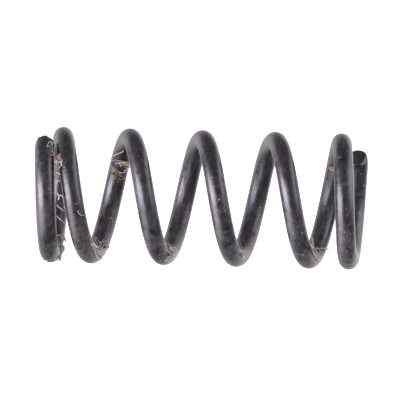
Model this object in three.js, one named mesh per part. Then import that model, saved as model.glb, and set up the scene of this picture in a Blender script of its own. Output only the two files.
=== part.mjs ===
// A helical compression spring of round wire, lying on its side: axis along X, Z up.
// Right-hand wound, closed ends, not ground. Lengths are in millimetres, angles in degrees.
// The spring is one wire. It is divided into short stretches, so that each can slide a little
// further along the axis than the one before it when the spring is pressed.
import * as THREE from "three";

// The spring
const wireDiameter = 0.7;
const meanDiameter = 4.15;   // of the coil, wire centre to wire centre
const pitch = 2.59;          // axial advance of one open turn
const totalTurns = 5.8;
const leftTipAngle = 27.5;   // round the axis, from the top towards the front (-Y)
const tipClearance = 0.02;   // between a cut tip and the turn that it lies against

// How each closed end winds: a short square tip, a shallow closed arc, then an ease into the pitch
const squareTip = { flat: 8, ease: 8 };
const leftEnd = { closedArc: 262, easeArc: 200 };
const rightEnd = { closedArc: 291, easeArc: 139 };

// How the wire is divided
const liftOff = 54;          // past the point where a tip meets the next turn, to the first moving stretch
const leftArcs = 9;
const middleStretches = 29;  // the last one moves with the right end
const rightArcs = 8;
const jointGap = 0.03;       // between the faces of neighbouring stretches

// How round the solids are
const wireSides = 14;
const stretchSteps = 6;

const coilRadius = meanDiameter / 2;
const totalAngle = 360 * totalTurns;
const closedSpan = 360 + liftOff;
const radians = THREE.MathUtils.degToRad;

// A polygon with this radius has the area of the round wire.
const sideAngle = 2 * Math.PI / wireSides;
const sectionRadius = wireDiameter / 2 * Math.sqrt(sideAngle / Math.sin(sideAngle));
const faceRadius = sectionRadius * Math.cos(sideAngle / 2);

// The part of a lead, as an angle, that has been wound at an angle past the tip,
// when the lead rises smoothly from 0 at start to its full value at start + ease.
function woundAngle(angle, start, ease) {
  const share = THREE.MathUtils.clamp((angle - start) / ease, 0, 1);
  const past = Math.max(angle - start - ease, 0);
  return ease * (share ** 3 - share ** 4 / 2) + past;
}

// The same rise, as the share of the lead that is reached at an angle.
function leadShare(angle, start, ease) {
  return THREE.MathUtils.smoothstep(angle, start, start + ease);
}

// The lead of the closed arc that lays the tip against the next turn, one turn on.
function closingLead(end) {
  const slant = Math.atan(pitch / (2 * Math.PI * coilRadius));
  const needed = wireDiameter / Math.cos(slant) + tipClearance;
  const closedTurns = woundAngle(360, squareTip.flat, squareTip.ease) / 360;
  const openTurns = woundAngle(360, end.closedArc, end.easeArc) / 360;
  return (needed - pitch * openTurns) / (closedTurns - openTurns);
}

// Axial distance from a tip's centre to the wire's centre, and the lead, at an angle past that tip.
function windEnd(end, angle) {
  const lead = closingLead(end);
  const closedTurns = woundAngle(angle, squareTip.flat, squareTip.ease) / 360;
  const openTurns = woundAngle(angle, end.closedArc, end.easeArc) / 360;
  const closedShare = leadShare(angle, squareTip.flat, squareTip.ease);
  const openShare = leadShare(angle, end.closedArc, end.easeArc);
  return {
    distance: lead * closedTurns + (pitch - lead) * openTurns,
    lead: lead * closedShare + (pitch - lead) * openShare,
  };
}

const halfAngle = totalAngle / 2;
const axialSpan = windEnd(leftEnd, halfAngle).distance + windEnd(rightEnd, halfAngle).distance;

// The wire's centre along the axis, from the left tip's centre, and its lead, at any angle.
function windWire(angle) {
  if (angle < halfAngle) {
    return windEnd(leftEnd, angle);
  }
  const fromRight = windEnd(rightEnd, totalAngle - angle);
  return { distance: axialSpan - fromRight.distance, lead: fromRight.lead };
}

// A point of the wire: outward is measured away from the coil's axis, along is measured
// square to the wire, towards the right end.
function wirePoint(angle, outward, along) {
  const wire = windWire(angle);
  const slant = Math.atan(wire.lead / (2 * Math.PI * coilRadius));
  const turned = radians(leftTipAngle + angle);
  const radius = coilRadius + outward;
  return new THREE.Vector3(
    wire.distance - axialSpan / 2 + along / Math.cos(slant),
    -radius * Math.sin(turned),
    coilRadius + sectionRadius + radius * Math.cos(turned),
  );
}

// The solid of one stretch: a straight bar whose length is laid along the wire.
// Its end faces hold the coil's axis, so neighbours can slide past each other along it.
function stretchGeometry(from, to) {
  const bar = new THREE.CylinderGeometry(1, 1, 1, wireSides, stretchSteps);
  bar.rotateY(sideAngle / 2);
  const place = bar.getAttribute("position");
  for (let i = 0; i < place.count; i += 1) {
    const angle = THREE.MathUtils.lerp(from, to, place.getY(i) + 0.5);
    const outward = sectionRadius * place.getX(i);
    const along = sectionRadius * place.getZ(i);
    const point = wirePoint(angle, outward, along);
    place.setXYZ(i, point.x, point.y, point.z);
  }
  bar.computeVertexNormals();
  return bar;
}

const spring = new THREE.Group();
spring.name = "compression_spring";

function addStretch(name, from, to) {
  const blackenedSteel = new THREE.MeshStandardMaterial({
    color: 0x2b2828,
    roughness: 0.42,
    metalness: 0.75,
  });
  const stretch = new THREE.Mesh(stretchGeometry(from, to), blackenedSteel);
  stretch.name = name;
  spring.add(stretch);
}

// A run of equal stretches with the joint gap between neighbours.
function addRun(count, from, to, nameOf) {
  const gapAngle = THREE.MathUtils.radToDeg(jointGap / coilRadius);
  const step = (to - from) / count;
  for (let i = 0; i < count; i += 1) {
    const start = from + i * step;
    const startGap = start > 0 ? gapAngle / 2 : 0;
    const endGap = start + step < totalAngle - gapAngle ? gapAngle / 2 : 0;
    addStretch(nameOf(i + 1), start + startGap, start + step - endGap);
  }
}

const movingStep = (totalAngle - 2 * closedSpan) / (middleStretches - 1);
const middleEnd = closedSpan + middleStretches * movingStep;
addRun(leftArcs, 0, closedSpan, (n) => `left_end_arc_${n}`);
addRun(middleStretches, closedSpan, middleEnd, (n) => `coil_${String(n).padStart(2, "0")}`);
addRun(rightArcs, middleEnd, totalAngle, (n) => `right_end_arc_${n}`);

export default spring;
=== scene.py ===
import math
import bpy
from mathutils import Matrix, Vector


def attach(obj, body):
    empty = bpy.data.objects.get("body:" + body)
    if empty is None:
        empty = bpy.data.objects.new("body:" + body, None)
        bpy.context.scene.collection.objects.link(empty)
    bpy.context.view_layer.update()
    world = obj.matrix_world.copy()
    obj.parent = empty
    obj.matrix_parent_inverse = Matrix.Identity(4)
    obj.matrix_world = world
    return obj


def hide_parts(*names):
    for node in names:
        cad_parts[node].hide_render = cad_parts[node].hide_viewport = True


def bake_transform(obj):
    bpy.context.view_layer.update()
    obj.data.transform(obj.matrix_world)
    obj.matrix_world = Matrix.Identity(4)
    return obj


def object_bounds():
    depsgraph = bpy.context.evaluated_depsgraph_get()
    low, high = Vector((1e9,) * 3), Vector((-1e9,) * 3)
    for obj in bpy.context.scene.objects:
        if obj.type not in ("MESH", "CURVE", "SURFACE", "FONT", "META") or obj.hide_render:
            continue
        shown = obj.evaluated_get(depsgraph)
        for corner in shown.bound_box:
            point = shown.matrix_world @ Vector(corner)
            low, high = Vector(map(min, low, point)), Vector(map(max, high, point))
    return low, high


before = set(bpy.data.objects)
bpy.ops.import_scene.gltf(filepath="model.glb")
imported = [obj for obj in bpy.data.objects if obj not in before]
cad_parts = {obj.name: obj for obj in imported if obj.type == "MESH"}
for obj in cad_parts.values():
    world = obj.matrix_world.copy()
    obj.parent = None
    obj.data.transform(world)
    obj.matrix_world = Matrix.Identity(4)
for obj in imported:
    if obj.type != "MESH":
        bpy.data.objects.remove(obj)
cadLow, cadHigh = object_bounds()
mm = 0.001
sharpAngle = math.radians(50)   # edges above it are shaded as edges


# expressions on sockets, for the geometry trees and the materials alike

class Signal:  # a socket that can stand in a Python expression
    def __init__(self, bench, socket):
        self.bench = bench
        self.socket = socket

    def math(self, operation, *others, order=1):
        terms = (self, *others)[::order]
        return self.bench.add("ShaderNodeMath", {"operation": operation}, dict(enumerate(terms)))

    def __add__(self, other):
        return self.math("ADD", other)

    def __sub__(self, other):
        return self.math("SUBTRACT", other)

    def __rsub__(self, other):
        return self.math("SUBTRACT", other, order=-1)

    def __mul__(self, other):
        return self.math("MULTIPLY", other)

    def __truediv__(self, other):
        return self.math("DIVIDE", other)

    def __rtruediv__(self, other):
        return self.math("DIVIDE", other, order=-1)

    def __neg__(self):
        return self.math("MULTIPLY", -1.0)

    __radd__ = __add__
    __rmul__ = __mul__

    def ramp(self, start, end):  # a smooth rise from 0 at start to 1 at end
        return self.bench.add("ShaderNodeMapRange", {"interpolation_type": "SMOOTHSTEP"},
                              {"Value": self, "From Min": start, "From Max": end})

    def clamp(self, low=0.0, high=1.0):
        return self.math("MAXIMUM", low).math("MINIMUM", high)


class Bench:  # adds nodes to one tree
    def __init__(self, tree):
        self.tree = tree

    def add(self, kind, settings=None, sockets=None, out=0):
        node = self.tree.nodes.new(kind)
        for name, value in (settings or {}).items():
            setattr(node, name, value)
        for name, value in (sockets or {}).items():
            if isinstance(value, Signal):
                self.tree.links.new(value.socket, node.inputs[name])
            else:
                node.inputs[name].default_value = value
        return Signal(self, node.outputs[out]) if len(node.outputs) else node

    def vector(self, x, y, z):
        return self.add("ShaderNodeCombineXYZ", None, {0: x, 1: y, 2: z})

    def parts(self, vector):
        split = self.add("ShaderNodeSeparateXYZ", None, {0: vector}).socket.node
        return [Signal(self, output) for output in split.outputs]

    def scaled(self, vector, amount):
        return self.add("ShaderNodeVectorMath", {"operation": "SCALE"},
                        {0: vector, "Scale": amount})

    def sum(self, *vectors):
        total = vectors[0]
        for vector in vectors[1:]:
            total = self.add("ShaderNodeVectorMath", {"operation": "ADD"}, {0: total, 1: vector})
        return total

    def product(self, vector, factors):
        return self.add("ShaderNodeVectorMath", {"operation": "MULTIPLY"}, {0: vector, 1: factors})

    def noise(self, vector, scale, detail=2.0, roughness=0.5, out=0):  # out 1 is its colour
        return self.add("ShaderNodeTexNoise", None, {
            "Vector": vector, "Scale": scale, "Detail": detail, "Roughness": roughness}, out)

    def cells(self, vector, scale):
        return self.add("ShaderNodeTexVoronoi", {"feature": "F1"}, {"Vector": vector, "Scale": scale})

    def mix(self, factor, first, second):
        node = self.tree.nodes.new("ShaderNodeMix")
        node.data_type = "RGBA"
        for index, value in ((0, factor), (6, first), (7, second)):
            if isinstance(value, Signal):
                self.tree.links.new(value.socket, node.inputs[index])
            elif index:
                node.inputs[index].default_value = (*value, 1.0)
            else:
                node.inputs[index].default_value = value
        return Signal(self, node.outputs[2])


def newTree(name, inputs):  # a geometry tree with named inputs and their signals
    tree = bpy.data.node_groups.new(name, "GeometryNodeTree")
    tree.interface.new_socket("Geometry", in_out="OUTPUT", socket_type="NodeSocketGeometry")
    tree.interface.new_socket("Geometry", in_out="INPUT", socket_type="NodeSocketGeometry")
    kinds = {float: "NodeSocketFloat", int: "NodeSocketInt", tuple: "NodeSocketVector"}
    for label, value in inputs.items():
        kind = kinds.get(type(value), "NodeSocketMaterial")
        tree.interface.new_socket(label, in_out="INPUT", socket_type=kind)
    bench = Bench(tree)
    source = tree.nodes.new("NodeGroupInput")
    return tree, bench, {label: Signal(bench, source.outputs[label]) for label in inputs}


def finishTree(bench, geometry, material):  # plain, smooth, finished geometry
    whole = bench.add("GeometryNodeRealizeInstances", None, {0: geometry})
    smooth = bench.add("GeometryNodeSetShadeSmooth", None, {0: whole, "Shade Smooth": True})
    coated = bench.add("GeometryNodeSetMaterial", None, {0: smooth, "Material": material})
    output = bench.tree.nodes.new("NodeGroupOutput")
    bench.tree.links.new(coated.socket, output.inputs[0])


def grow(tree, name, values):  # runs a tree once and keeps the result as a plain mesh
    seed = bpy.data.objects.new(name + "_seed", bpy.data.meshes.new(name + "_seed"))
    bpy.context.scene.collection.objects.link(seed)
    modifier = seed.modifiers.new("grow", "NODES")
    modifier.node_group = tree
    for item in tree.interface.items_tree:
        if item.item_type == "SOCKET" and item.in_out == "INPUT" and item.name in values:
            modifier[item.identifier] = values[item.name]
    seed.update_tag()
    graph = bpy.context.evaluated_depsgraph_get()
    mesh = bpy.data.meshes.new_from_object(seed.evaluated_get(graph), depsgraph=graph)
    mesh.name = name
    mesh.set_sharp_from_angle(angle=sharpAngle)
    seed.modifiers.clear()
    bpy.data.objects.remove(seed)
    piece = bpy.data.objects.new(name, mesh)
    bpy.context.scene.collection.objects.link(piece)
    return piece


# the wire: one helix, cut into pieces; those in the closed ends go with the end bodies

wire = {
    "diameter": 0.7,          # millimetres, as every length in this dictionary
    "meanDiameter": 4.15,
    "pitch": 2.59,
    "turns": 5.8,
    "tipAngle": 27.5,         # degrees from the top towards the front
    "tipClearance": 0.02,
    "squareTip": (8.0, 8.0),  # degrees that stay flat, and over which the lead then rises
    "leftEnd": (262.0, 200.0),  # degrees of closed arc, and of the ease into the pitch
    "rightEnd": (291.0, 139.0),
    "closedSpan": 414.0,      # degrees from a tip to the first joint
    "stretches": 29,
    "sides": 40,
    "stepAngle": 0.75,        # degrees
    "tipSpan": 14.0,          # degrees of wire in each finely made tip
    "tipStepAngle": 0.25,
    "tipSides": 96,
    "tipCapRings": 22,
    "leftArcs": 9,            # solids of the closed ends that the visible coils stand for
    "rightArcs": 8,
    "leftCut": {"Shear angle": math.radians(205), "Shear": 1.0, "Burr": 0.16, "Seed": 3.0},
    "rightCut": {"Shear angle": math.radians(250), "Shear": 0.55, "Burr": 0.0, "Seed": 8.0},
    "noCut": {"Shear angle": 0.0, "Shear": 0.0, "Burr": 0.0, "Seed": 0.0},
}
coilRadius = wire["meanDiameter"] / 2
wireRadius = wire["diameter"] / 2
totalAngle = 360 * wire["turns"]
stretchAngle = (totalAngle - 2 * wire["closedSpan"]) / (wire["stretches"] - 1)


def woundAngle(angle, start, ease):  # how much of a lead is wound at an angle past the tip
    share = min(max((angle - start) / ease, 0), 1)
    return ease * (share ** 3 - share ** 4 / 2) + max(angle - start - ease, 0)


def closingLead(end):  # the lead that lays the tip against the next turn
    slant = math.atan(wire["pitch"] / (2 * math.pi * coilRadius))
    needed = wire["diameter"] / math.cos(slant) + wire["tipClearance"]
    closed = woundAngle(360, *wire["squareTip"]) / 360
    opened = woundAngle(360, *wire[end]) / 360
    return (needed - wire["pitch"] * opened) / (closed - opened)


def endDistance(end, angle):
    lead = closingLead(end)
    closed = woundAngle(angle, *wire["squareTip"]) / 360
    opened = woundAngle(angle, *wire[end]) / 360
    return lead * closed + (wire["pitch"] - lead) * opened


axialSpan = endDistance("leftEnd", totalAngle / 2) + endDistance("rightEnd", totalAngle / 2)
axisHeight = (cadLow.z + cadHigh.z) / 2 / mm
axisMiddle = (cadLow.x + cadHigh.x) / 2 / mm


def wireCentre(angle):  # a point of the wire's centre line, in metres
    if angle < totalAngle / 2:
        along = endDistance("leftEnd", angle)
    else:
        along = axialSpan - endDistance("rightEnd", totalAngle - angle)
    turned = math.radians(wire["tipAngle"] + angle)
    return mm * Vector((axisMiddle + along - axialSpan / 2, -coilRadius * math.sin(turned),
                        axisHeight + coilRadius * math.cos(turned)))


def woundSignal(turn, start, ease):  # woundAngle again, in turns, as nodes
    share = ((turn - start) / ease).clamp()
    past = (turn - start - ease).math("MAXIMUM", 0.0)
    wound = ease * (share * share * share - share * share * share * share * 0.5) + past
    lead = share * share * (3.0 - 2.0 * share)
    return wound, lead


def endSignal(turn, lead, pitch, tipFlat, tipEase, closedArc, easeArc):
    closed, closedShare = woundSignal(turn, tipFlat, tipEase)
    opened, openedShare = woundSignal(turn, closedArc, easeArc)
    rest = pitch - lead
    return lead * closed + rest * opened, lead * closedShare + rest * openedShare


helixInputs = {
    "Wire radius": 0.0, "Coil radius": 0.0, "Pitch": 0.0, "Turns": 0.0, "Tip turn": 0.0,
    "Tip flat": 0.0, "Tip ease": 0.0, "Left lead": 0.0, "Left closed": 0.0, "Left ease": 0.0,
    "Right lead": 0.0, "Right closed": 0.0, "Right ease": 0.0, "Axial span": 0.0,
    "Middle": (0.0, 0.0, 0.0),
}


def helixValues():  # what goes into those inputs, in metres and turns
    return {
        "Wire radius": wireRadius * mm, "Coil radius": coilRadius * mm, "Pitch": wire["pitch"] * mm,
        "Turns": wire["turns"], "Tip turn": wire["tipAngle"] / 360,
        "Tip flat": wire["squareTip"][0] / 360, "Tip ease": wire["squareTip"][1] / 360,
        "Left lead": closingLead("leftEnd") * mm,
        "Left closed": wire["leftEnd"][0] / 360, "Left ease": wire["leftEnd"][1] / 360,
        "Right lead": closingLead("rightEnd") * mm,
        "Right closed": wire["rightEnd"][0] / 360, "Right ease": wire["rightEnd"][1] / 360,
        "Axial span": axialSpan * mm, "Middle": (axisMiddle * mm, 0.0, axisHeight * mm),
    }


def helixSignals(bench, v, turn):  # the wire's centre at a turn, with its own three directions
    tip = (v["Pitch"], v["Tip flat"], v["Tip ease"])
    left, leftLead = endSignal(turn, v["Left lead"], *tip, v["Left closed"], v["Left ease"])
    fromRight = v["Turns"] - turn
    right, rightLead = endSignal(
        fromRight, v["Right lead"], *tip, v["Right closed"], v["Right ease"])
    onRight = turn.math("GREATER_THAN", v["Turns"] * 0.5)
    along = left * (1 - onRight) + (v["Axial span"] - right) * onRight
    lead = leftLead * (1 - onRight) + rightLead * onRight
    slope = lead / (v["Coil radius"] * (2 * math.pi))
    cosine = 1 / (1 + slope * slope).math("SQRT")
    sine = slope * cosine
    angle = (turn + v["Tip turn"]) * (2 * math.pi)
    up = angle.math("COSINE")
    front = angle.math("SINE")
    fromMiddle = bench.vector(along - v["Axial span"] * 0.5, -(v["Coil radius"] * front),
                              v["Coil radius"] * up)
    return {
        "centre": bench.sum(v["Middle"], fromMiddle),
        "outward": bench.vector(0.0, -front, up),
        "sideways": bench.vector(cosine, up * sine, front * sine),
        "onward": bench.vector(sine, -(up * cosine), -(front * cosine)),
        "fromRight": fromRight,
    }


def wireTree():
    tree, bench, v = newTree("wireStretch", {
        "From turn": 0.0, "To turn": 1.0, "Steps": 8, "Sides": 12, "Cap rings": 1, **helixInputs,
        "Shear angle": 0.0, "Shear": 0.0, "Burr": 0.0, "Seed": 0.0, "Material": None,
    })
    bar = bench.add("GeometryNodeMeshCylinder", {"fill_type": "TRIANGLE_FAN"}, {
        "Vertices": v["Sides"], "Side Segments": v["Steps"], "Fill Segments": v["Cap rings"],
        "Radius": 1.0, "Depth": 1.0})
    x, y, z = bench.parts(bench.add("GeometryNodeInputPosition"))
    turn = v["From turn"] + (v["To turn"] - v["From turn"]) * (z + 0.5)
    helix = helixSignals(bench, v, turn)

    # near a tip the shears leave a rolled edge, a torn face and a burr
    nearRight = helix["fromRight"].math("LESS_THAN", turn)
    nearest = turn.math("MINIMUM", helix["fromRight"])
    fromTip = nearest * v["Coil radius"] * (2 * math.pi) / v["Wire radius"]
    place = bench.vector(x, y, v["Seed"])
    q = x * v["Shear angle"].math("COSINE") + y * v["Shear angle"].math("SINE")
    rim = (x * x + y * y).math("SQRT")
    torn = bench.noise(place, 3.1, 5.0, 0.62) - 0.5
    jag = bench.noise(place, 6.5, 3.0, 0.6)
    rolled = q.ramp(0.25, 1.05) * rim.ramp(0.45, 1.0)
    lip = (-q).ramp(0.35, 0.85) * rim.ramp(0.72, 1.0) * jag.ramp(0.36, 0.62)
    tear = torn * 0.34 * (1 - q.ramp(0.1, 0.35))
    face = v["Shear"] * (tear - rolled * 0.34 - q * 0.16) + v["Burr"] * lip
    fade = (-(fromTip * 2.6)).math("EXPONENT")
    fadeSlow = (-(fromTip * 1.3)).math("EXPONENT")
    push = face * fade * v["Wire radius"] * (nearRight * 2.0 - 1.0)
    bruised = bench.vector(x * 2.2, y * 2.2, fromTip * 0.8 + v["Seed"])
    bruise = bench.noise(bruised, 1.4, 3.0, 0.6) - 0.5
    shrink = 1 - v["Shear"] * (fade * (0.05 + rolled * 0.12) - bruise * fadeSlow * 0.2)
    section = v["Wire radius"] * shrink
    there = bench.sum(helix["centre"], bench.scaled(helix["outward"], x * section),
                      bench.scaled(helix["sideways"], -(y * section)),
                      bench.scaled(helix["onward"], push))

    arc = turn * v["Coil radius"] * (2 * math.pi)
    lay = bench.vector(x * v["Wire radius"] * 1000, y * v["Wire radius"] * 1000, arc * 1000)
    tagged = bench.add("GeometryNodeStoreNamedAttribute",
                       {"data_type": "FLOAT_VECTOR", "domain": "POINT"},
                       {"Geometry": bar, "Name": "wireLay", "Value": lay})
    shaped = bench.add("GeometryNodeSetPosition", None, {"Geometry": tagged, "Position": there})
    finishTree(bench, shaped, v["Material"])
    return tree


oxide = {
    "colour": (0.158, 0.144, 0.160),     # the coat where it is clean
    "coolColour": (0.118, 0.117, 0.134),
    "wornColour": (0.250, 0.228, 0.245),
    "deepColour": (0.05, 0.05, 0.056),
    "filmColour": (0.30, 0.275, 0.285),
    "dustColour": (0.46, 0.44, 0.44),
    "roughness": 0.34,
    "drawLines": 0.5,                    # heights of the relief
    "grain": 0.35,
    "mottle": 0.5,
    "dust": 1.5,
    "bumpStrength": 0.35,
    "bumpDistance": 0.000012,            # metres
    "film": 0.055,                       # cover of the matt film everywhere
    "lowSideFilm": (0.06, 0.24),         # and of a lighter film on the lower side: even, and in grains
    "gritFadeHeight": (0.0006, 0.0020),      # metres above the floor, over which the grit grows sparser
    "lowSideHeight": (0.0006, 0.0026),
}


def blackOxide():
    material = bpy.data.materials.new("blackOxide")
    material.use_nodes = True
    material.node_tree.nodes.clear()
    bench = Bench(material.node_tree)
    lay = bench.add("ShaderNodeAttribute", {"attribute_name": "wireLay"}, None, out=1)
    place = bench.add("ShaderNodeTexCoord", None, None, out=3)

    height = bench.parts(place)[2]

    # lines left by the drawing die
    lines = bench.noise(bench.product(lay, (24.0, 24.0, 0.5)), 1.0, 3.0, 0.6)
    broad = bench.noise(bench.product(lay, (2.4, 2.4, 0.6)), 1.0, 2.0, 0.5)
    grain = bench.noise(place, 22000.0, 3.0, 0.6)
    mottle = bench.noise(place, 5200.0, 4.0, 0.65)
    scratch = bench.noise(bench.product(lay, (9.0, 34.0, 5.0)), 1.0, 1.0, 0.5).ramp(0.66, 0.74)
    cells = bench.cells(place, 6500.0)
    fineCells = bench.cells(place, 15000.0)
    patches = bench.noise(place, 1300.0, 3.0, 0.6)
    specks = (1 - cells.ramp(0.08, 0.17)) * bench.noise(place, 2600.0, 2.0).ramp(0.51, 0.58)
    grit = (1 - fineCells.ramp(0.10, 0.26)) * patches.ramp(0.46, 0.60)
    # towards the bottom the grit grows denser and a lighter, matt film spreads in patches, so the
    # lower side comes out lighter
    dust = (specks + grit * (0.45 + (1 - height.ramp(*oxide["gritFadeHeight"])) * 0.4)).clamp()
    lowSide = (1 - height.ramp(*oxide["lowSideHeight"])) * patches.ramp(0.36, 0.58)
    even, grainy = oxide["lowSideFilm"]
    film = mottle.ramp(0.34, 0.66) * oxide["film"] + lowSide * (even + grain.ramp(0.38, 0.62) * grainy)

    tone = bench.mix(broad.ramp(0.36, 0.64), oxide["colour"], oxide["coolColour"])
    worn = (mottle.ramp(0.56, 0.74) * 0.35 + lines.ramp(0.52, 0.72) * 0.3 + scratch * 0.5).clamp()
    tone = bench.mix(worn, tone, oxide["wornColour"])
    tone = bench.mix(mottle.ramp(0.5, 0.3) * 0.5, tone, oxide["deepColour"])
    tone = bench.mix(film, tone, oxide["filmColour"])
    tone = bench.mix(dust, tone, oxide["dustColour"])
    relief = (lines * oxide["drawLines"] + grain * oxide["grain"] + mottle * oxide["mottle"]
              + dust * oxide["dust"])
    bump = bench.add("ShaderNodeBump", None, {
        "Strength": oxide["bumpStrength"], "Distance": oxide["bumpDistance"], "Height": relief})
    rough = (oxide["roughness"] + (mottle - 0.5) * 0.22 + (lines - 0.5) * 0.12
             + film * 0.5 + dust * 0.4)
    shader = bench.add("ShaderNodeBsdfPrincipled", None, {
        "Base Color": tone, "Metallic": (1 - dust) * (1 - film * 0.7),
        "Roughness": rough.clamp(0.2, 0.95), "Normal": bump})
    bench.add("ShaderNodeOutputMaterial", None, {"Surface": shader})
    return material


movingStart = wire["closedSpan"] - stretchAngle / 2
movingSpan = wire["stretches"] * stretchAngle
pieceCount = wire["stretches"] * 2
pieceAngle = movingSpan / pieceCount


def easeReach(share):  # how far along its ease a share is reached
    return 0.5 - math.sin(math.asin(1 - 2 * share) / 3)


def carryWith(piece, angle):  # puts a piece at an angle in a closed end on that end's body; a piece on the open coils is only baked in place
    index = math.floor((angle - movingStart) / pieceAngle)
    if index < 0:
        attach(piece, "left_end")
    elif index >= pieceCount:
        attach(piece, "right_end")
    else:
        first = wireCentre(movingStart + index * pieceAngle)
        last = wireCentre(movingStart + (index + 1) * pieceAngle)
        low, high = easeReach(index / pieceCount), easeReach((index + 1) / pieceCount)
        whole = (last - first) / (high - low)
        start = first - whole * low
        tuple(start + whole)
        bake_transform(piece)


def makeWire(material):
    tree = wireTree()
    common = {**helixValues(), "Material": material, **wire["noCut"]}

    def stretch(name, start, end, step=wire["stepAngle"], sides=wire["sides"], rings=1, **tip):
        values = {**common, "From turn": start / 360, "To turn": end / 360, "Sides": sides,
                  "Steps": max(2, round((end - start) / step)), "Cap rings": rings, **tip}
        piece = grow(tree, name, values)
        return piece

    tipSpan = wire["tipSpan"]
    fine = {"step": wire["tipStepAngle"], "sides": wire["tipSides"], "rings": wire["tipCapRings"]}
    left = stretch("left_tip", 0, tipSpan, **fine, **wire["leftCut"])
    leftCoil = stretch("left_closed_coil", tipSpan, movingStart)
    for piece in (left, leftCoil):
        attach(piece, "left_end")
    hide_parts("left_end_arc_1")
    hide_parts(*[f"left_end_arc_{n}" for n in range(2, wire["leftArcs"] + 1)])

    for index in range(pieceCount):
        start = movingStart + index * pieceAngle
        piece = stretch(f"open_coil_{index + 1:02d}", start, start + pieceAngle)
        carryWith(piece, start + pieceAngle / 2)
        if index % 2 == 0:
            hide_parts(f"coil_{index // 2 + 1:02d}")

    right = stretch("right_tip", totalAngle - tipSpan, totalAngle, **fine, **wire["rightCut"])
    rightCoil = stretch("right_closed_coil", movingStart + movingSpan, totalAngle - tipSpan)
    for piece in (right, rightCoil):
        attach(piece, "right_end")
    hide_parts(f"right_end_arc_{wire['rightArcs']}")
    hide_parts(*[f"right_end_arc_{n}" for n in range(1, wire["rightArcs"])])
    print("wire made")


# lint: fibres and crumbs that lie on the wire, laid out in its own coordinates

lint = {  # millimetres, and shares of a size
    "hairWiggle": 0.05,
    "hairLift": 0.45,         # of its thickness
    "tuftWiggle": 0.14,
    "tuftRise": 0.06,
    "tuftSpreadLift": 0.05,
    "tuftSizeSpread": 0.4,
    "crumbSpreadLift": 0.02,
    "crumbLift": 0.2,         # of its size
}

lintTones = {  # colour and the colour that it drifts to
    "pale": ((0.80, 0.75, 0.75), (0.62, 0.57, 0.57)),
    "grey": ((0.46, 0.43, 0.44), (0.32, 0.30, 0.31)),
    "tan": ((0.50, 0.34, 0.25), (0.62, 0.51, 0.43)),
    "pink": ((0.60, 0.37, 0.36), (0.56, 0.45, 0.44)),
    "olive": ((0.20, 0.16, 0.10), (0.34, 0.25, 0.16)),
}

# tone, thickness, then start, bend and end: degrees along the wire, degrees round it, lift
hairs = [
    ("pale", 0.024, (15, 15, 0), (8, 30, 0.04), (10, 54, 0)),
    ("pale", 0.020, (11, 39, 0), (6, 54, 0.05), (9, 75, 0)),
    ("pale", 0.050, (238, 174, 0), (235, 153, 0.02), (223, 138, 0.01)),
    ("pale", 0.045, (240, -174, 0), (236, -183, 0.02), (232, -183, 0)),
    ("pale", 0.030, (226, -177, 0), (222, -198, 0.01), (220, -228, 0)),
    ("pale", 0.026, (212, 177, 0), (208, 153, 0.01), (206, 126, 0)),
    ("pale", 0.034, (264, -159, 0), (266, -168, 0.02), (263, -177, 0)),
    ("pale", 0.030, (252, -162, 0), (256, -174, 0.02), (255, -180, 0)),
    ("grey", 0.040, (166, 129, 0), (166, 99, 0.01), (149, 78, 0)),
    ("grey", 0.034, (142, 51, 0), (146, 66, 0.02), (158, 90, 0)),
    ("pale", 0.034, (645, -117, 0), (657, -147, 0.01), (668, -165, 0)),
    ("pink", 0.028, (637, -111, 0), (644, -147, 0.01), (646, -174, 0)),
    ("grey", 0.032, (635, -129, 0), (630, -144, 0.02), (630, -165, 0)),
    ("tan", 0.028, (631, -141, 0), (628, -171, 0.02), (626, -195, 0)),
    ("pale", 0.026, (630, -174, 0), (629, -207, 0.03), (634, -228, 0)),
    ("tan", 0.024, (618, -156, 0), (623, -174, 0.01), (627, -198, 0)),
    ("grey", 0.024, (619, 168, 0), (620, 153, 0.02), (622, 123, 0)),
    ("pale", 0.030, (470, 63, 0), (531, 189, 0.04), (523, 150, 0)),
    ("pale", 0.028, (472, 81, 0), (490, 108, 0.03), (528, 147, 0)),
    ("pale", 0.030, (523, 153, 0), (532, 138, 0.04), (516, 123, 0)),
    ("pale", 0.030, (512, 120, 0), (520, 111, 0.03), (532, 105, 0)),
    ("grey", 0.046, (482, 69, 0), (490, 63, 0.01), (502, 57, 0)),
    ("grey", 0.042, (492, 90, 0), (501, 84, 0.01), (516, 63, 0)),
    ("grey", 0.028, (476, 60, 0), (485, 75, 0.02), (498, 75, 0)),
    ("grey", 0.034, (880, 174, 0), (863, 120, 0.03), (852, 66, 0)),
    ("grey", 0.032, (876, 150, 0), (873, 111, 0.03), (862, 75, 0)),
    ("tan", 0.028, (838, 69, 0), (850, 81, 0.03), (873, 87, 0)),
    ("pale", 0.034, (1547, 87, 0), (1622, 204, 0.02), (1614, 186, 0)),
    ("pale", 0.036, (1616, -171, 0), (1602, -189, 0.01), (1600, -207, 0)),
    ("pale", 0.036, (1599, 156, 0), (1605, 144, 0.01), (1600, 126, 0)),
    ("grey", 0.040, (1558, 84, 0), (1570, 84, 0.01), (1587, 75, 0)),
    ("pale", 0.030, (1610, 138, 0), (1618, 114, 0.02), (1624, 93, 0.06)),
    ("grey", 0.026, (1624, 93, 0.05), (1624, 93, 0.07), (1622, 90, 0.02)),
    ("grey", 0.024, (432, 21, 0), (436, 27, 0.03), (438, 57, 0)),
    ("grey", 0.020, (570, 168, 0), (572, 150, 0.01), (568, 129, 0)),
    ("grey", 0.007, (1843, -70, 0), (1844, 0, 0.01), (1843, 60, 0)),
    ("grey", 0.006, (1904, -76, 0.01), (1904, -40, 0), (1905, 10, 0)),
]

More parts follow.
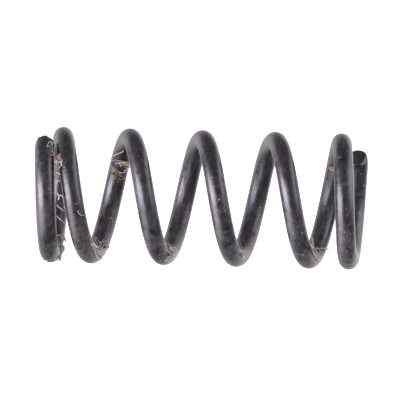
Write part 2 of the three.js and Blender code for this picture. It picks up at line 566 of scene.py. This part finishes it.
# tone, thickness, degrees along, degrees round, how many, length, spread along and round in
# millimetres, seed
tufts = [
    ("tan", 0.022, 16, 72, 9, 0.30, (0.24, 0.08), 1),
    ("tan", 0.022, 384, -48, 5, 0.15, (0.16, 0.04), 2),
    ("pink", 0.024, 288, -159, 7, 0.28, (0.26, 0.10), 3),
    ("pale", 0.022, 389, -45, 3, 0.18, (0.12, 0.05), 4),
    ("tan", 0.030, 182, 132, 12, 0.16, (0.09, 0.10), 5),
    ("pale", 0.028, 162, 105, 8, 0.20, (0.16, 0.06), 6),
    ("grey", 0.024, 146, 66, 5, 0.18, (0.10, 0.06), 7),
    ("tan", 0.028, 643, 168, 18, 0.20, (0.09, 0.13), 8),
    ("pink", 0.022, 634, 135, 7, 0.20, (0.10, 0.08), 9),
    ("olive", 0.026, 624, 174, 11, 0.20, (0.08, 0.18), 10),
    ("grey", 0.020, 630, -144, 5, 0.22, (0.08, 0.08), 11),
    ("pink", 0.028, 532, 117, 11, 0.18, (0.12, 0.08), 12),
    ("grey", 0.022, 500, 132, 6, 0.22, (0.12, 0.16), 13),
    ("pale", 0.026, 858, 108, 11, 0.24, (0.30, 0.16), 14),
    ("tan", 0.024, 866, 148, 9, 0.20, (0.20, 0.12), 15),
    ("grey", 0.026, 852, 70, 9, 0.22, (0.26, 0.16), 18),
    ("grey", 0.022, 1206, 88, 8, 0.18, (0.30, 0.18), 19),
    ("pink", 0.020, 1212, 100, 5, 0.14, (0.26, 0.14), 20),
    ("grey", 0.018, 1570, 105, 4, 0.20, (0.18, 0.14), 16),
    ("tan", 0.028, 1721, -159, 11, 0.16, (0.08, 0.08), 17),
]

# tone, degrees along, degrees round, how many, size, spread along and round, seed
crumbs = [
    ("pale", 136, -18, 4, 0.042, (0.03, 0.05), 21),
    ("pale", 11, 39, 7, 0.024, (0.12, 0.18), 22),
    ("tan", 16, 72, 9, 0.024, (0.26, 0.08), 23),
    ("olive", 624, 174, 24, 0.030, (0.07, 0.18), 24),
    ("pale", 616, 168, 2, 0.036, (0.02, 0.02), 25),
    ("tan", 643, 168, 16, 0.032, (0.08, 0.10), 26),
    ("pink", 532, 117, 9, 0.030, (0.10, 0.08), 27),
    ("tan", 866, 153, 9, 0.026, (0.18, 0.14), 28),
    ("tan", 1721, -159, 14, 0.034, (0.07, 0.07), 29),
    ("pale", 1715, -177, 4, 0.024, (0.04, 0.04), 30),
    ("olive", 1578, 45, 7, 0.030, (0.08, 0.08), 31),
    ("pale", 376, -46, 12, 0.028, (0.34, 0.06), 32),
    ("pale", 272, 192, 12, 0.028, (0.50, 0.08), 33),
    ("tan", 284, 196, 12, 0.030, (0.36, 0.10), 34),
    ("grey", 1200, 60, 34, 0.022, (0.50, 0.34), 35),
    ("pink", 1208, 92, 16, 0.022, (0.34, 0.20), 36),
    ("grey", 1590, 50, 26, 0.022, (0.50, 0.34), 37),
    ("grey", 850, 60, 24, 0.022, (0.44, 0.34), 38),
    ("grey", 506, 60, 24, 0.022, (0.44, 0.34), 39),
    ("grey", 449, -36, 16, 0.024, (0.30, 0.10), 40),
    ("grey", 166, 20, 22, 0.022, (0.50, 0.34), 41),
    ("grey", 1892, 15, 14, 0.022, (0.50, 0.24), 42),
    ("pale", 1871, 21, 3, 0.030, (0.30, 0.10), 43),
    ("pale", 1357, 234, 4, 0.028, (0.12, 0.08), 44),
]


def layOn(bench, v):  # moves wire coordinates (along, round, lift, in metres) to their place
    along, around, lift = bench.parts(bench.add("GeometryNodeInputPosition"))
    helix = helixSignals(bench, v, along / (v["Coil radius"] * (2 * math.pi)))
    side = around / v["Wire radius"]
    height = v["Wire radius"] + lift.math("MAXIMUM", 0.0)
    return bench.sum(helix["centre"], bench.scaled(helix["outward"], side.math("COSINE") * height),
                     bench.scaled(helix["sideways"], side.math("SINE") * height))


def scatter(bench, v):  # points about a middle, in wire coordinates
    def pick(low, high, offset):
        return bench.add("FunctionNodeRandomValue", {"data_type": "FLOAT"},
                         {"Min": low, "Max": high, "Seed": v["Seed"] + offset}, out=1)
    along = pick(-1.0, 1.0, 1) * v["Spread along"]
    around = pick(-1.0, 1.0, 2) * v["Spread round"]
    lift = pick(0.0, 1.0, 3) * v["Spread lift"]
    spot = bench.sum(v["Centre"], bench.vector(along, around, lift))
    return bench.add("GeometryNodePoints", None, {"Count": v["Count"], "Position": spot}), pick


def hairTree():
    tree, bench, v = newTree("lintHairs", {
        "Centre": (0.0, 0.0, 0.0), "Start": (0.0, 0.0, 0.0), "Bend": (0.0, 0.0, 0.0),
        "End": (0.0, 0.0, 0.0), "Count": 1, "Spread along": 0.0, "Spread round": 0.0,
        "Spread lift": 0.0, "Turn spread": 0.0, "Size spread": 0.0, "Wiggle": 0.0,
        "Thickness": 0.0, "Seed": 0, **helixInputs, "Material": None,
    })
    curve = bench.add("GeometryNodeCurveQuadraticBezier", None, {
        "Resolution": 26, "Start": v["Start"], "Middle": v["Bend"], "End": v["End"]})
    points, pick = scatter(bench, v)
    spin = bench.vector(0.0, 0.0, pick(-1.0, 1.0, 4) * v["Turn spread"])
    size = 1 + pick(-1.0, 1.0, 5) * v["Size spread"]
    many = bench.add("GeometryNodeInstanceOnPoints", None, {
        "Points": points, "Instance": curve, "Rotation": spin, "Scale": size})
    loose = bench.add("GeometryNodeRealizeInstances", None, {0: many})
    x, y = bench.parts(bench.add("GeometryNodeInputPosition"))[:2]
    which = bench.add("GeometryNodeCurveOfPoint", None, {0: bench.add("GeometryNodeInputIndex")})
    where = bench.vector(x * 9000.0, y * 9000.0, which * 3.7 + v["Seed"] * 1.3)
    drift = bench.noise(where, 1.0, 2.0, 0.6, out=1)
    shake = bench.scaled(bench.sum(drift, (-0.5, -0.5, -0.42)), v["Wiggle"])
    wavy = bench.add("GeometryNodeSetPosition", None, {"Geometry": loose, "Offset": shake})
    laid = bench.add("GeometryNodeSetPosition", None,
                     {"Geometry": wavy, "Position": layOn(bench, v)})
    factor = bench.add("GeometryNodeSplineParameter")
    taper = 1 - ((factor - 0.5) * 2).math("ABSOLUTE").ramp(0.55, 1.0) * 0.6
    profile = bench.add("GeometryNodeCurvePrimitiveCircle", {"mode": "RADIUS"},
                        {"Resolution": 6, "Radius": v["Thickness"] * 0.5})
    thinned = bench.add("GeometryNodeSetCurveRadius", None, {"Curve": laid, "Radius": taper})
    mesh = bench.add("GeometryNodeCurveToMesh", None,
                     {"Curve": thinned, "Profile Curve": profile, "Fill Caps": True})
    finishTree(bench, mesh, v["Material"])
    return tree


def crumbTree():
    tree, bench, v = newTree("lintCrumbs", {
        "Centre": (0.0, 0.0, 0.0), "Count": 1, "Spread along": 0.0, "Spread round": 0.0,
        "Spread lift": 0.0, "Size": 0.0, "Seed": 0, **helixInputs, "Material": None,
    })
    points, pick = scatter(bench, v)
    ball = bench.add("GeometryNodeMeshIcoSphere", None,
                     {"Radius": v["Size"] * 0.5, "Subdivisions": 2})
    spin = bench.vector(pick(0.0, 6.28, 6), pick(0.0, 6.28, 7), pick(0.0, 6.28, 8))
    size = bench.vector(pick(0.4, 1.1, 9), pick(0.4, 1.1, 10), pick(0.25, 0.7, 11))
    many = bench.add("GeometryNodeInstanceOnPoints", None, {
        "Points": points, "Instance": ball, "Rotation": spin, "Scale": size})
    loose = bench.add("GeometryNodeRealizeInstances", None, {0: many})
    where = bench.scaled(bench.add("GeometryNodeInputPosition"), 60000.0)
    drift = bench.noise(where, 1.0, 2.0, 0.6, out=1)
    shake = bench.scaled(bench.sum(drift, (-0.5, -0.5, -0.5)), v["Size"] * 0.6)
    rough = bench.add("GeometryNodeSetPosition", None, {"Geometry": loose, "Offset": shake})
    laid = bench.add("GeometryNodeSetPosition", None,
                     {"Geometry": rough, "Position": layOn(bench, v)})
    finishTree(bench, laid, v["Material"])
    return tree


def lintMaterial(name, colour, drift):
    material = bpy.data.materials.new(name + "Lint")
    material.use_nodes = True
    material.node_tree.nodes.clear()
    bench = Bench(material.node_tree)
    place = bench.add("ShaderNodeTexCoord", None, None, out=3)
    blotch = bench.noise(place, 9000.0, 3.0, 0.6)
    thread = bench.noise(bench.product(place, (3.0, 1.0, 1.0)), 26000.0, 2.0, 0.5)
    tone = bench.mix(blotch.ramp(0.35, 0.65), colour, drift)
    tone = bench.mix(thread.ramp(0.5, 0.75) * 0.4, tone, (0.12, 0.10, 0.09))
    bump = bench.add("ShaderNodeBump", None,
                     {"Strength": 0.4, "Distance": 0.000006, "Height": thread})
    shader = bench.add("ShaderNodeBsdfPrincipled", None, {
        "Base Color": tone, "Roughness": 0.7 + (blotch - 0.5) * 0.2, "Normal": bump,
        "Specular IOR Level": 0.3})
    bench.add("ShaderNodeOutputMaterial", None, {"Surface": shader})
    return material


def unrolled(angle, around, lift=0.0):  # degrees along and round the wire, as metres on its surface
    along = math.radians(angle) * coilRadius
    return along * mm, math.radians(around) * wireRadius * mm, lift * mm


def makeLint():
    hairMaker = hairTree()
    crumbMaker = crumbTree()
    tones = {name: lintMaterial(name, *pair) for name, pair in lintTones.items()}

    for number, (tone, thickness, *path) in enumerate(hairs):
        centre = Vector(unrolled(*path[1][:2]))
        start, bend, end = (Vector(unrolled(*spot)) - centre for spot in path)
        bend = bend * 2 - (start + end) / 2          # so that the curve passes through it
        lift = thickness * lint["hairLift"] * mm
        piece = grow(hairMaker, f"hair_{number + 1:02d}", {
            **helixValues(), "Centre": (centre.x, centre.y, centre.z + lift), "Start": start,
            "Bend": bend, "End": end, "Count": 1, "Wiggle": lint["hairWiggle"] * mm,
            "Thickness": thickness * mm, "Seed": number, "Material": tones[tone]})
        carryWith(piece, path[1][0])

    for number, (tone, thickness, angle, around, count, length, spread, seed) in enumerate(tufts):
        half = length / 2 * mm
        piece = grow(hairMaker, f"tuft_{number + 1:02d}", {
            **helixValues(), "Centre": unrolled(angle, around, thickness * 0.5),
            "Start": (-half, 0.0, 0.0), "Bend": (0.0, half * 0.9, lint["tuftRise"] * mm),
            "End": (half, -half * 0.2, 0.01 * mm), "Count": count,
            "Spread along": spread[0] * mm, "Spread round": spread[1] * mm,
            "Spread lift": lint["tuftSpreadLift"] * mm, "Turn spread": math.pi,
            "Size spread": lint["tuftSizeSpread"], "Wiggle": lint["tuftWiggle"] * mm,
            "Thickness": thickness * mm, "Seed": seed * 10, "Material": tones[tone]})
        carryWith(piece, angle)

    for number, (tone, angle, around, count, size, spread, seed) in enumerate(crumbs):
        piece = grow(crumbMaker, f"crumbs_{number + 1:02d}", {
            **helixValues(), "Centre": unrolled(angle, around, size * lint["crumbLift"]),
            "Count": count, "Spread along": spread[0] * mm, "Spread round": spread[1] * mm,
            "Spread lift": lint["crumbSpreadLift"] * mm,
            "Size": size * mm, "Seed": seed * 10, "Material": tones[tone]})
        carryWith(piece, angle)
    print("lint made")


studio = {
    "azimuth": 1.5, "elevation": 4.0, "roll": 1.25,   # degrees
    "distance": 0.4387,                               # metres
    "lens": 1107.0, "sensor": 36.0,
    "aim": (-0.034, -0.072),           # millimetres right and up of the spring's middle
    "worldColour": (1.0, 0.985, 1.0, 1.0),
    "allRound": 0.21,                  # strengths of the bright walls round the spring
    "leftWall": 0.7,
    "rightWall": 0.3,
    "backWall": 0.6,
    "backRightWall": 0.8,
    "floorRadius": 3.0,
    "floorGrey": 0.86,
    "floorGlow": 1.0,
}


def backwards(azimuth, elevation):  # the direction from the spring to something that faces it
    a, e = math.radians(azimuth), math.radians(elevation)
    return Vector((math.sin(a) * math.cos(e), -math.cos(a) * math.cos(e), math.sin(e)))


def makeCamera():
    camera = bpy.data.objects.new("camera", bpy.data.cameras.new("camera"))
    bpy.context.scene.collection.objects.link(camera)
    bpy.context.scene.camera = camera
    camera.data.lens = studio["lens"]
    camera.data.sensor_width = studio["sensor"]
    back = backwards(studio["azimuth"], studio["elevation"])
    roll = Matrix.Rotation(math.radians(studio["roll"]), 4, "Z").to_quaternion()
    turn = (-back).to_track_quat("-Z", "Y") @ roll
    middle = (cadLow + cadHigh) / 2
    aim = middle + turn @ Vector((studio["aim"][0] * mm, studio["aim"][1] * mm, 0))
    camera.rotation_mode = "QUATERNION"
    camera.rotation_quaternion = turn
    camera.location = aim + back * studio["distance"]


lamps = {  # azimuth, elevation, distance, width, height, radiance, colour
    "left_softbox": (-57, 1, 0.30, 0.31, 0.17, 4.9, (1.0, 0.985, 1.0)),
    "left_low_card": (-60, -38, 0.30, 0.34, 0.20, 1.3, (1.0, 0.98, 1.0)),
    "right_softbox": (92, 24, 0.30, 0.32, 0.26, 1.25, (1.0, 0.985, 0.99)),
}


def makeLamps():
    middle = (cadLow + cadHigh) / 2
    for name, (azimuth, elevation, distance, width, height, radiance, colour) in lamps.items():
        lamp = bpy.data.lights.new(name, "AREA")
        lamp.shape = "RECTANGLE"
        lamp.size = width
        lamp.size_y = height
        lamp.energy = radiance * math.pi * width * height
        lamp.color = colour
        holder = bpy.data.objects.new(name, lamp)
        bpy.context.scene.collection.objects.link(holder)
        back = backwards(azimuth, elevation)
        holder.location = middle + back * distance
        holder.rotation_mode = "QUATERNION"
        holder.rotation_quaternion = (-back).to_track_quat("-Z", "Y")
        holder.visible_camera = False


def makeWorld():
    world = bpy.data.worlds.new("studio")
    bpy.context.scene.world = world
    world.use_nodes = True
    world.node_tree.nodes.clear()
    bench = Bench(world.node_tree)
    x, y, z = bench.parts(bench.add("ShaderNodeTexCoord"))
    left = (-x).ramp(0.25, 0.85) * (1 - z.ramp(0.3, 0.7))
    right = x.ramp(0.3, 0.9) * z.ramp(-0.35, 0.25) * (1 - z.ramp(0.35, 0.7))
    behind = y.ramp(0.1, 0.85) * z.ramp(-0.9, -0.3) * (1 - z.ramp(0.3, 0.75))
    behindRight = (y.ramp(0.45, 0.9) * x.ramp(-0.1, 0.3) * z.ramp(-0.9, -0.3)
                   * (1 - z.ramp(0.25, 0.7)))
    strength = (studio["allRound"] + left * studio["leftWall"] + right * studio["rightWall"]
                + behind * studio["backWall"] + behindRight * studio["backRightWall"])
    background = bench.add("ShaderNodeBackground", None,
                           {"Color": studio["worldColour"], "Strength": strength})
    bench.add("ShaderNodeOutputWorld", None, {"Surface": background})


def makeFloor():
    mesh = bpy.data.meshes.new("floor")
    radius = studio["floorRadius"]
    corners = [(-radius, -radius, 0), (radius, -radius, 0), (radius, radius, 0), (-radius, radius, 0)]
    mesh.from_pydata(corners, [], [(0, 1, 2, 3)])
    floor = bpy.data.objects.new("floor", mesh)
    bpy.context.scene.collection.objects.link(floor)
    material = bpy.data.materials.new("paleFloor")
    material.use_nodes = True
    shader = material.node_tree.nodes["Principled BSDF"]
    shader.inputs["Base Color"].default_value = (*[studio["floorGrey"]] * 3, 1.0)
    shader.inputs["Roughness"].default_value = 0.9
    shader.inputs["Specular IOR Level"].default_value = 0.1
    shader.inputs["Emission Color"].default_value = (1.0, 1.0, 1.0, 1.0)
    shader.inputs["Emission Strength"].default_value = studio["floorGlow"]
    mesh.materials.append(material)
    floor.visible_glossy = False
    floor.visible_shadow = False


bpy.context.scene.view_settings.view_transform = "Standard"
makeCamera()
makeLamps()
makeWorld()
makeFloor()
print("studio ready")
makeWire(blackOxide())
makeLint()
